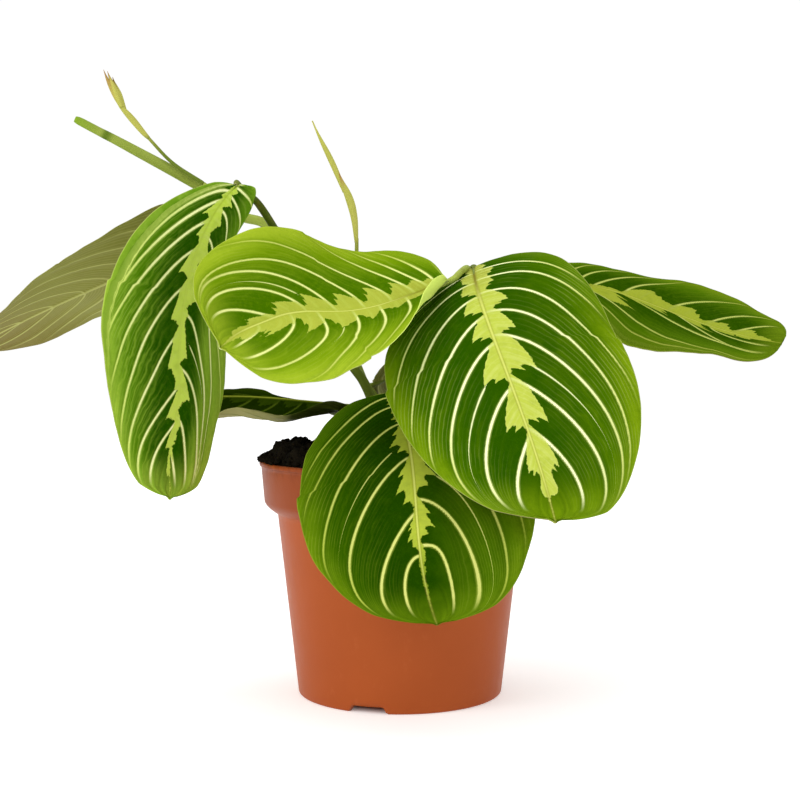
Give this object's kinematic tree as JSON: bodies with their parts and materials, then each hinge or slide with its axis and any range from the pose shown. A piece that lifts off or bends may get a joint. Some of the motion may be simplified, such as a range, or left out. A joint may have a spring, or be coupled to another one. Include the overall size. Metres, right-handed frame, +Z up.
{
  "type": "potted prayer plant maranta",
  "caption": "Prayer plant in a round tapered nursery pot: broad veined leaves on thin stems, a rolled new leaf and thin flower spikes.",
  "frame": {"origin": "centre of the pot's underside, on the surface that it stands on", "axes": "+Z up, -Y to the front as the picture shows it, +X to the right"},
  "size_m": [0.3779, 0.1746, 0.27],
  "materials": {
    "pot_plastic": "terracotta-coloured moulded plastic, satin",
    "peat_soil": "dark crumbly peat",
    "stem": "smooth green stem, paler at the sheaths",
    "leaf_dark": "satin dark green blade with cream side veins and a lime band",
    "leaf_light": "satin light green blade with cream side veins and a lime band",
    "leaf_grey": "matt grey-olive underside",
    "new_leaf": "smooth pale green",
    "flower_bract": "thin yellow-green bracts with brown edges"
  },
  "bodies": {
    "root": {"pot": "pot_plastic", "soil": "peat_soil", "shoot_left": "stem", "shoot_right": "stem", "shoot_low": "stem", "leaf_left_front": "leaf_dark", "leaf_centre": "leaf_light", "leaf_right_front": "leaf_dark", "leaf_low_front": "leaf_dark", "leaf_right_back": "leaf_dark", "leaf_left_back": "leaf_grey", "leaf_low_left": "leaf_dark", "leaf_low_back": "leaf_grey", "rolled_leaf": "new_leaf", "flower_spike_left": "flower_bract", "flower_spike_middle": "flower_bract"}
  },
  "joints": []
}
